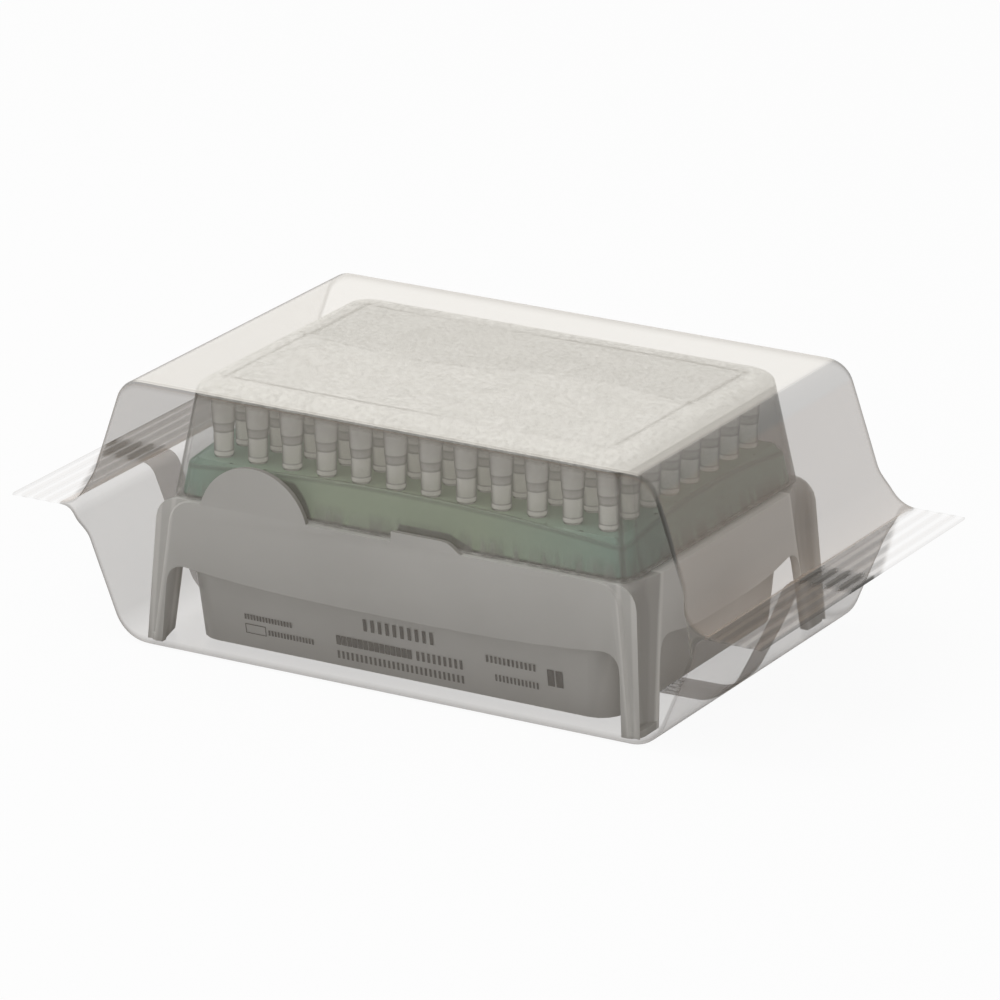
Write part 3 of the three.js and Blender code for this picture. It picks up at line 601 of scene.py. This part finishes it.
# A profile of (radius, height, shaded tone) triples turned about the vertical axis; the shaded tone is
# painted shade.
def latheSheet(radius, height, tone, sides, x, y):
    angle = np.linspace(0, 2 * np.pi, sides, endpoint=False)[None, :]
    r, z = np.array(radius, float)[:, None], np.array(height, float)[:, None]
    points = np.stack([x + r * np.cos(angle), y + r * np.sin(angle), z + 0 * angle], -1)
    return points, gridFaces(len(r), sides, closedColumns=True), np.repeat(tone, sides)


# From the point up the outside to the mouth, and down into the socket: (radius, height, shaded tone).
# The shaded tone is painted shade, lowest at the steps, the bead's groove and down the socket.
def tipProfile(shape):
    neckTop = shape["neckLength"]
    collar = neckTop + shape["stepLength"]
    top = collar + shape["collarLength"]
    body, neck, wide, mouth = (shape[part + "Radius"] for part in ("body", "neck", "collar", "top"))
    bore, lip, bead = mouth - shape["wall"], shape["round"], shape["beadHeight"]
    return zip(*[
        (0, -shape["bodyLength"], 0.6), (shape["endRadius"], -shape["bodyLength"], 0.6),
        (body * 0.6, -shape["bodyLength"] * 0.45, 0.6), (body, -0.1, 0.6),
        (neck - lip, 0, 0.8), (neck, lip, 1), (neck, bead - 0.15, 1), (neck - 0.1, bead, 0.45),
        (neck - 0.1, bead + 0.25, 0.45), (neck, bead + 0.4, 0.95),
        (neck, neckTop - lip, 0.9), (neck + 0.03, neckTop + lip, 0.2),
        (neck + 0.1, neckTop + 0.7, 0.45), (wide - 0.1, collar - 0.7, 0.4),
        (wide - 0.03, collar - lip, 0.25), (wide, collar + lip, 0.7),
        (mouth, top - lip, 0.75), (mouth - lip, top, 0.9),
        (bore + lip, top, 0.9), (bore, top - lip, 0.4), (bore, top - shape["socketDepth"], 0.3),
        (0, top - shape["socketDepth"], 0.3),
    ])


def makeTips(shape):
    seat = boxOf("tip_a1")[0][2] + shape["bodyLength"]
    radius, height, tone = (np.array(column, float) for column in tipProfile(shape))
    for row in range(shape["rows"]):
        y = (row - (shape["rows"] - 1) / 2) * shape["pitch"]
        for column in range(shape["columns"]):
            x = (column - (shape["columns"] - 1) / 2) * shape["pitch"]
            name = "tip_" + "abcdefgh"[row] + str(column + 1)
            loose = row < shape["looseRows"]
            lift = seat if loose else seat - shape["gap"]
            sheet = latheSheet(radius, height + lift, tone, shape["sides"], x, y)
            makePiece(name + "_moulded", [sheet], finishes["tip"], values=["tone"], sharp=35,
                      nodes=[name] if loose else ["tip_tray"])


makeTips(tipShape)
print("tips made")

trayShape = {
    "wall": 1.2, "lean": 0.152, "radius": 3.3, "deckZ": 43.2, "deck": 1.6, "cornerDrop": 1.5,
    "archRise": 2.8, "holeRadius": 2.15, "pitch": 9.0, "round": 0.25,
}


# The apron: rings round a rectangle with round corners, whose top edge arches up along each side
# as a parabola. Each ring keeps its share of the wall's height, so the rings follow the arch.
def apronSheet(shape, halfLength, halfWidth, bottom):
    radius = shape["radius"]
    a, b = np.meshgrid(edgeShares(halfLength, radius, 60), edgeShares(halfWidth, radius, 40))
    a, b = perimeter(a, b)
    along = np.where(abs(b) >= 1, a, b)
    top = shape["deckZ"] - shape["cornerDrop"] + shape["archRise"] * (1 - along ** 2)
    wall, lip = shape["wall"], shape["round"]
    section = [  # inset, share of the height, how far below the top edge, how dark
        (0, 0, 0, 0), (0, 0.5, 0, 0), (0, 1, lip + 1.0, 0), (0, 1, lip + 0.4, 1), (0, 1, lip, 1),
        (lip * 0.3, 1, lip * 0.3, 1), (lip, 1, 0, 1),
        (wall - lip, 1, 0, 0), (wall - lip * 0.3, 1, lip * 0.3, 0), (wall, 1, lip, 0), (wall, 0.5, 0, 0),
        (wall, 0, 0, 0), (0, 0, 0, 0),
    ]
    inset, share, below, dark = (np.array(column, float)[:, None] for column in zip(*section))
    z = bottom + (top[None, :] - bottom) * share - below
    inward = inset + (z - bottom) * shape["lean"]
    corner = np.maximum(radius - inset, 0.4)
    x, y = roundedPoint(a[None, :], b[None, :], halfLength - inward, halfWidth - inward, corner)
    return np.stack([x, y, z], -1), gridFaces(len(section), len(a), closedColumns=True), dark + 0 * x


# One cell of the deck: rings from the hole's edge out to the cell's square border, on the top
# face, down the hole's wall and back along the underside.
def deckSheets(shape):
    angle = np.linspace(0, 2 * np.pi, 32, endpoint=False) + np.pi / 32
    unit = np.stack([np.cos(angle), np.sin(angle)], -1)
    square = unit / abs(unit).max(axis=1, keepdims=True) * shape["pitch"] / 2
    hole = unit * shape["holeRadius"]
    high, low = shape["deckZ"], shape["deckZ"] - shape["deck"]
    loops = [(square, high), (hole, high), (hole, low), (square, low)]
    ring = np.stack([np.column_stack([loop, np.full(len(loop), z)]) for loop, z in loops])
    faces, plain = gridFaces(4, len(angle), closedColumns=True), np.zeros(ring.shape[:2])
    rows, columns = ((np.arange(count) - (count - 1) / 2) * shape["pitch"]
                     for count in (tipShape["rows"], tipShape["columns"]))
    return [(ring + [x, y, 0], faces, plain) for y in rows for x in columns]


def makeTray(shape):
    high = boxOf("tip_tray")[1]
    apron = apronSheet(shape, high[0], high[1], rack["rimZ"] + rack["fitGap"])
    # the deck's border runs from the outer holes' cells up or down to the apron's inner edge
    edge = apron[0][7]
    half = np.array([tipShape["columns"], tipShape["rows"]]) * shape["pitch"] / 2
    inner = np.column_stack([np.clip(edge[:, :2], -half, half), np.full(len(edge), shape["deckZ"])])
    faces = gridFaces(2, len(edge), closedColumns=True)
    border = (np.stack([edge, inner]), faces, np.zeros((2, len(edge))))
    return makePiece("tip_tray_moulded", [apron, border] + deckSheets(shape), finishes["tray"],
                     nodes=["tip_tray"], values=["edge"], sharp=40)


makeTray(trayShape)
print("tip tray made")

lidShape = {
    "wall": 1.2, "lean": 3.6, "shoulderHeight": 3.2, "shoulderRun": 4.0, "radius": 4.5,
    "wallLevels": (0, 0.2, 0.4, 0.6, 0.8, 0.93, 0.99, 1), "shoulderLevels": 8,
    # the sunk panel at the rear: its edge is a wave of (share of the length, y) places
    "panelDepth": 0.45, "panelFade": 1.2, "ridge": 0.25, "waveY": 5.0,
    "wave": [(-1, 4.4), (-0.72, 3.4), (-0.37, 1.8), (0, 4.8), (0.38, 9.2), (0.66, 8.6), (1, 6)],
    "rowsNearWave": (-1.6, -1.1, -0.8, -0.55, -0.35, -0.15, 0, 0.15, 0.35, 0.55, 0.9, 1.4),
    # how hazy each part is
    "wallHaze": 0.12, "shoulderHaze": 1.0, "frostHaze": 0.95, "panelHaze": 0.9, "innerHaze": 0.04,
    # how dark the ends, the lines and the panel are; at the ends, the corner lines, the rear corners and
    # under the shoulder it is painted shade
    "endDark": 0.24, "lineDark": 0.55, "cornerLine": 3.0, "rearDark": 1.1, "rearFrom": -10.5,
    "rearTo": 3.5, "panelDark": 0.14, "thinDark": 0.5, "thinWidth": 0.35, "outlineInset": 2.0,
    "underDark": 0.45, "rimDark": 0.3, "tickDark": 0.06, "tickPitch": 4.5,
}


# Levels of the wall, a straight line leaning inwards, and of the shoulder's quarter ellipse, as
# (inset, z, corner radius).
def lidLevels(shape, low, high, inset):
    radius = shape["radius"] - inset
    spring = high - shape["shoulderHeight"]
    wall = [(inset + shape["lean"] * t, low + (spring - low) * t, radius) for t in shape["wallLevels"]]
    angle = np.linspace(0, np.pi / 2, shape["shoulderLevels"] + 1)[1:]
    run, rise = shape["shoulderRun"] - inset, shape["shoulderHeight"] - inset
    far = shape["lean"] + shape["shoulderRun"]
    shoulder = [(far - run * np.cos(t), spring + rise * np.sin(t), radius) for t in angle]
    return wall + shoulder


# A bell curve of the given half width round a line.
def line(distance, width):
    return np.exp(-(distance / width) ** 2)


# Painted shade on the lid's wall round its outline: the ends are darker than the front and back, and
# dark lines follow the middle and the end of each round corner, measured along the outline. The rear
# corners carry painted shadow as far as the hinge wall's ends.
def wallDark(shape, halfLength, halfWidth, a, b):
    radius = shape["radius"]
    x, y = abs(a) * halfLength - (halfLength - radius), abs(b) * halfWidth - (halfWidth - radius)
    turn = np.arctan2(np.maximum(x, 0), np.maximum(y, 1e-9))
    along = np.where(x < 0, x, np.where(y < 0, radius * np.pi / 2 - y, radius * turn))
    ends = smooth((along - radius * 1.2) / (radius * 0.4))
    lines = line(along - shape["cornerLine"], 0.75) + 0.4 * line(along - radius * 1.57, 0.35)
    rear = smooth((along - shape["rearFrom"]) / 1.5) * smooth((shape["rearTo"] - along) / 1.0)
    rear = shape["rearDark"] * (b > 0) * rear
    return shape["endDark"] * ends + shape["lineDark"] * np.maximum(lines, rear) * (1 - 0.5 * ends)


# The flat top: a rectangle with round corners at one height, over a grid of shares (a, b).
def capPoints(a, b, length, width, radius, z):
    x, y = roundedPoint(a, b, length, width, radius)
    return np.stack([x, y, np.full_like(x, z)], -1)


# The top's grid, one row of which follows the wave, with close rows beside it, and how far each
# row lies beyond the wave. The rows between are moved in proportion.
def waveGrid(shape, length, width):
    y0, border = shape["waveY"], np.array([-1, 1])
    columns = [edgeShares(length, shape["radius"], 90), border * (1 - 0.5 / length)]
    rows = [edgeShares(width, shape["radius"], 44), (y0 + np.array(shape["rowsNearWave"])) / width,
            border * (1 - 0.5 / width)]
    a, b = np.meshgrid(*(np.unique(np.round(np.concatenate(part), 6)) for part in (columns, rows)))
    share, y = zip(*shape["wave"])
    waveY = np.polyval(np.polyfit(share, y, 6), a)
    hump = np.where(b * width < y0, (b + 1) / (y0 / width + 1), (1 - b) / (1 - y0 / width))
    return a, b + (waveY - y0) / width * hump, b * width - y0


# The top sinks by the panel's depth beyond the wave and rises to a ridge before it. Thin dark
# lines follow the wave's edge, a step before it, and the outline.
def topSheet(shape, a, b, beyond, length, width, z):
    top = capPoints(a, b, length, width, shape["radius"], z)
    margin = np.minimum(length - abs(top[..., 0]), width - abs(top[..., 1]))
    panel = smooth((beyond + 0.35) / 0.7)
    rise = shape["panelDepth"] * panel - shape["ridge"] * line(beyond + 0.9, 0.45)
    top[..., 2] -= smooth(margin / shape["panelFade"]) * rise + shape["ridge"]
    haze = shape["frostHaze"] + (shape["panelHaze"] - shape["frostHaze"]) * panel
    thin = line(beyond, shape["thinWidth"]) + 0.5 * line(beyond + 1.5, shape["thinWidth"])
    thin = thin + line(margin - shape["outlineInset"], shape["thinWidth"])
    return top, gridFaces(*a.shape), haze, shape["panelDark"] * panel + shape["thinDark"] * thin


def makeLid(shape):
    low, high = boxOf("lid")
    low[2] = rack["rimZ"] + rack["fitGap"]
    halfLength, halfWidth = high[0], -low[1]
    capInset = shape["lean"] + shape["shoulderRun"]
    length, width = halfLength - capInset, halfWidth - capInset
    a, b, beyond = waveGrid(shape, length, width)
    sides = perimeter(a, b)
    top = topSheet(shape, a, b, beyond, length, width, high[2])

    outer = lidLevels(shape, low[2], high[2] - shape["ridge"], 0)
    inner = lidLevels(shape, low[2], high[2] - shape["ridge"], shape["wall"])
    inside = capPoints(a, b, length, width, shape["radius"] - shape["wall"], inner[-1][1])
    walls = ringSheet(*sides, halfLength, halfWidth, outer)
    lining = ringSheet(*sides, halfLength, halfWidth, inner, flip=True)
    rim = ringSheet(*sides, halfLength, halfWidth, [inner[0], outer[0]])

    # the shoulder takes over from the wall's last level but one
    count, clearLevels = len(sides[0]), len(shape["wallLevels"]) - 1
    onWall = np.arange(len(outer)) < clearLevels
    haze = np.where(onWall, shape["wallHaze"], shape["shoulderHaze"])
    along = sides[0] * halfLength + sides[1] * halfWidth
    ticks = shape["tickDark"] * smooth(np.cos(along * 2 * np.pi / shape["tickPitch"]) * 2 - 1)
    # painted shade in a band just under the shoulder
    under = np.zeros(len(outer))
    under[clearLevels - 2:clearLevels] = [0.3, 1.0]
    dark = np.outer(onWall, wallDark(shape, halfLength, halfWidth, *sides)) + np.outer(~onWall, ticks)
    dark = dark + under[:, None] * shape["underDark"]
    sheets = [
        (*walls, np.repeat(haze, count), dark),
        top,
        (*lining, np.full(len(inner) * count, shape["innerHaze"]), np.zeros(len(inner) * count)),
        (inside, gridFaces(*a.shape, flip=True), np.full(a.size, shape["innerHaze"]), np.zeros(a.size)),
        (*rim, np.full(2 * count, shape["wallHaze"]), np.full(2 * count, shape["rimDark"])),
    ]
    return makePiece("lid_moulded", sheets, finishes["lid"], nodes=["lid"],
                     values=["haze", "dark"], sharp=40)


makeLid(lidShape)
print("lid made")

baseShape = {"bevel": 0.0003, "segments": 2, "angle": 28.0}


def makeBase(shape):
    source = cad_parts["base"].data
    mesh = source.copy()
    mesh.name = "base_moulded"
    mesh.materials.clear()
    work = bmesh.new()
    work.from_mesh(mesh)
    bmesh.ops.remove_doubles(work, verts=work.verts, dist=2e-6)
    bmesh.ops.dissolve_limit(work, angle_limit=np.radians(0.5), verts=work.verts, edges=work.edges)
    work.to_mesh(mesh)
    work.free()
    # painted shade: the edges of the tab and of the raised stretch of rim are darkened, as thick clear
    # plastic looks dark seen edge on
    centre, normal = np.empty(len(mesh.polygons) * 3), np.empty(len(mesh.polygons) * 3)
    mesh.polygons.foreach_get("center", centre)
    mesh.polygons.foreach_get("normal", normal)
    y, z = centre.reshape(-1, 3)[:, 1], centre.reshape(-1, 3)[:, 2] * 1000
    rimEdge = (z > rack["rimZ"] + 0.1) & (abs(normal.reshape(-1, 3)[:, 1]) < 0.6) & (y < 0)
    attribute = mesh.attributes.new("rimEdge", "FLOAT", "FACE")
    attribute.data.foreach_set("value", rimEdge.astype(np.float32))
    mesh.shade_smooth()
    mesh.materials.append(finishes["base"])
    piece = bpy.data.objects.new("base_moulded", mesh)
    scene.collection.objects.link(piece)
    bevel = piece.modifiers.new("bevel", "BEVEL")
    bevel.width, bevel.segments = shape["bevel"], shape["segments"]
    bevel.limit_method, bevel.angle_limit = "ANGLE", np.radians(shape["angle"])
    bevel.harden_normals = True
    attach(piece, "root")
    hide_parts("base")
    return piece


makeBase(baseShape)
print("rack base made")

printShape = {"lift": 0.06, "tubTopZ": 21.4, "floorY": 38.0, "topY": 41.0, "barShare": 0.62}
printMarks = [  # left, right, bottom, top on the front of the tub, and the share of it inked
    (-40, -27.3, 8.3, 9.6, 0.6), (-34, -21.8, 5.2, 6.5, 0.6),
    (-40, -34.6, 7.0, 7.2, 0.9), (-40, -34.6, 4.8, 5.0, 0.9),
    (-40, -39.8, 5.0, 7.0, 0.9), (-34.8, -34.6, 5.0, 7.0, 0.9),
    (-8.5, 10.6, 11.3, 14.3, 0.45), (-16, 3.8, 6.6, 8.9, 0.85), (4.8, 17.3, 6.6, 8.9, 0.5),
    (-16, 17.3, 3.2, 5.1, 0.5),
    (22.9, 36, 9.9, 11.6, 0.5), (24.9, 36.4, 5.6, 7.2, 0.5), (38.4, 42.7, 7.1, 11.1, 0.8),
]


# Each mark is a row of upright bars, as wide as the inked share of their spacing.
def makePrint(shape, marks):
    bars = []
    for left, right, bottom, top, inked in marks:
        bar = (top - bottom) * shape["barShare"]
        count = max(int(round((right - left) / bar)), 1) if right - left > 1 else 1
        step, inked = (right - left) / count, inked if count > 1 else 1
        for index in range(count):
            start = left + step * index
            bars.append((start, start + step * inked, bottom, top))
    left, right, bottom, top = (np.array(column, float) for column in zip(*bars))
    x = np.stack([left, right, right, left], -1)
    z = np.stack([bottom, bottom, top, top], -1)
    share = (z - rack["tubZ"]) / (shape["tubTopZ"] - rack["tubZ"])
    y = -(shape["floorY"] + (shape["topY"] - shape["floorY"]) * share) - shape["lift"]
    points = np.stack([x, y, z], -1).reshape(-1, 3)
    quads = np.arange(len(points)).reshape(-1, 4)
    return makePiece("front_print", [(points, quads)], finishes["print"])


makePrint(printShape, printMarks)
print("print made")

studio = {
    "floorHalf": 4.0, "floorZ": -0.0004, "floorColour": grey(0.55), "floorGlow": 0.94,
    "skyLight": 0.7, "keyPower": 14.0, "keySize": 0.9, "keyPlace": (-0.5, -0.35, 1.3),
    "cameraPlace": (0.7730544, -1.30364214, 0.57240211),
    "yaw": 30.5547, "pitch": 19.6462, "roll": -0.36, "lens": 257.97,
}


def makeFloor(shape):
    finish = Finish("paleFloor")
    camera = finish.node("ShaderNodeLightPath", out="Is Camera Ray")
    plain = finish.node("ShaderNodeBsdfDiffuse", sockets={"Color": shape["floorColour"]})
    glow = finish.node("ShaderNodeEmission", sockets={"Color": grey(1), "Strength": 1.0})
    material = finish.finishWith(finish.mixShader(camera * shape["floorGlow"], plain, glow))
    half, z = shape["floorHalf"], shape["floorZ"]
    mesh = bpy.data.meshes.new("floor")
    corners = [(-half, -half, z), (half, -half, z), (half, half, z), (-half, half, z)]
    mesh.from_pydata(corners, [], [(0, 1, 2, 3)])
    mesh.materials.append(material)
    floor = bpy.data.objects.new("floor", mesh)
    scene.collection.objects.link(floor)


def makeLight(shape):
    sky = Finish("studioWorld", bpy.data.worlds, "ShaderNodeOutputWorld")
    seen = [sky.node("ShaderNodeLightPath", out=ray)
            for ray in ("Is Camera Ray", "Is Glossy Ray", "Is Transmission Ray")]
    white = seen[0].math("MAXIMUM", seen[1]).math("MAXIMUM", seen[2])
    strength = white * (1.0 - shape["skyLight"]) + shape["skyLight"]
    background = sky.node("ShaderNodeBackground", sockets={"Color": grey(1), "Strength": strength})
    scene.world = sky.finishWith(background)

    lamp = bpy.data.lights.new("key", "AREA")
    lamp.energy, lamp.size = shape["keyPower"], shape["keySize"]
    key = bpy.data.objects.new("key", lamp)
    key.location = shape["keyPlace"]
    key.rotation_mode = "QUATERNION"
    key.rotation_quaternion = key.location.to_track_quat("Z", "Y")
    scene.collection.objects.link(key)


def makeCamera(shape):
    yaw, pitch, roll = np.radians([shape["yaw"], shape["pitch"], shape["roll"]])
    forward = np.array([-np.sin(yaw) * np.cos(pitch), np.cos(yaw) * np.cos(pitch), -np.sin(pitch)])
    right = np.array([np.cos(yaw), np.sin(yaw), 0])
    up = np.cross(right, forward)
    across = np.cos(roll) * right + np.sin(roll) * up
    upright = np.cos(roll) * up - np.sin(roll) * right
    data = bpy.data.cameras.new("camera")
    data.lens, data.sensor_width, data.clip_end = shape["lens"], 36.0, 100.0
    camera = bpy.data.objects.new("camera", data)
    turn = Matrix(np.column_stack([across, upright, -forward]).tolist()).to_4x4()
    camera.matrix_world = Matrix.Translation(shape["cameraPlace"]) @ turn
    scene.collection.objects.link(camera)
    scene.camera = camera


makeFloor(studio)
makeLight(studio)
makeCamera(studio)
print("studio made")
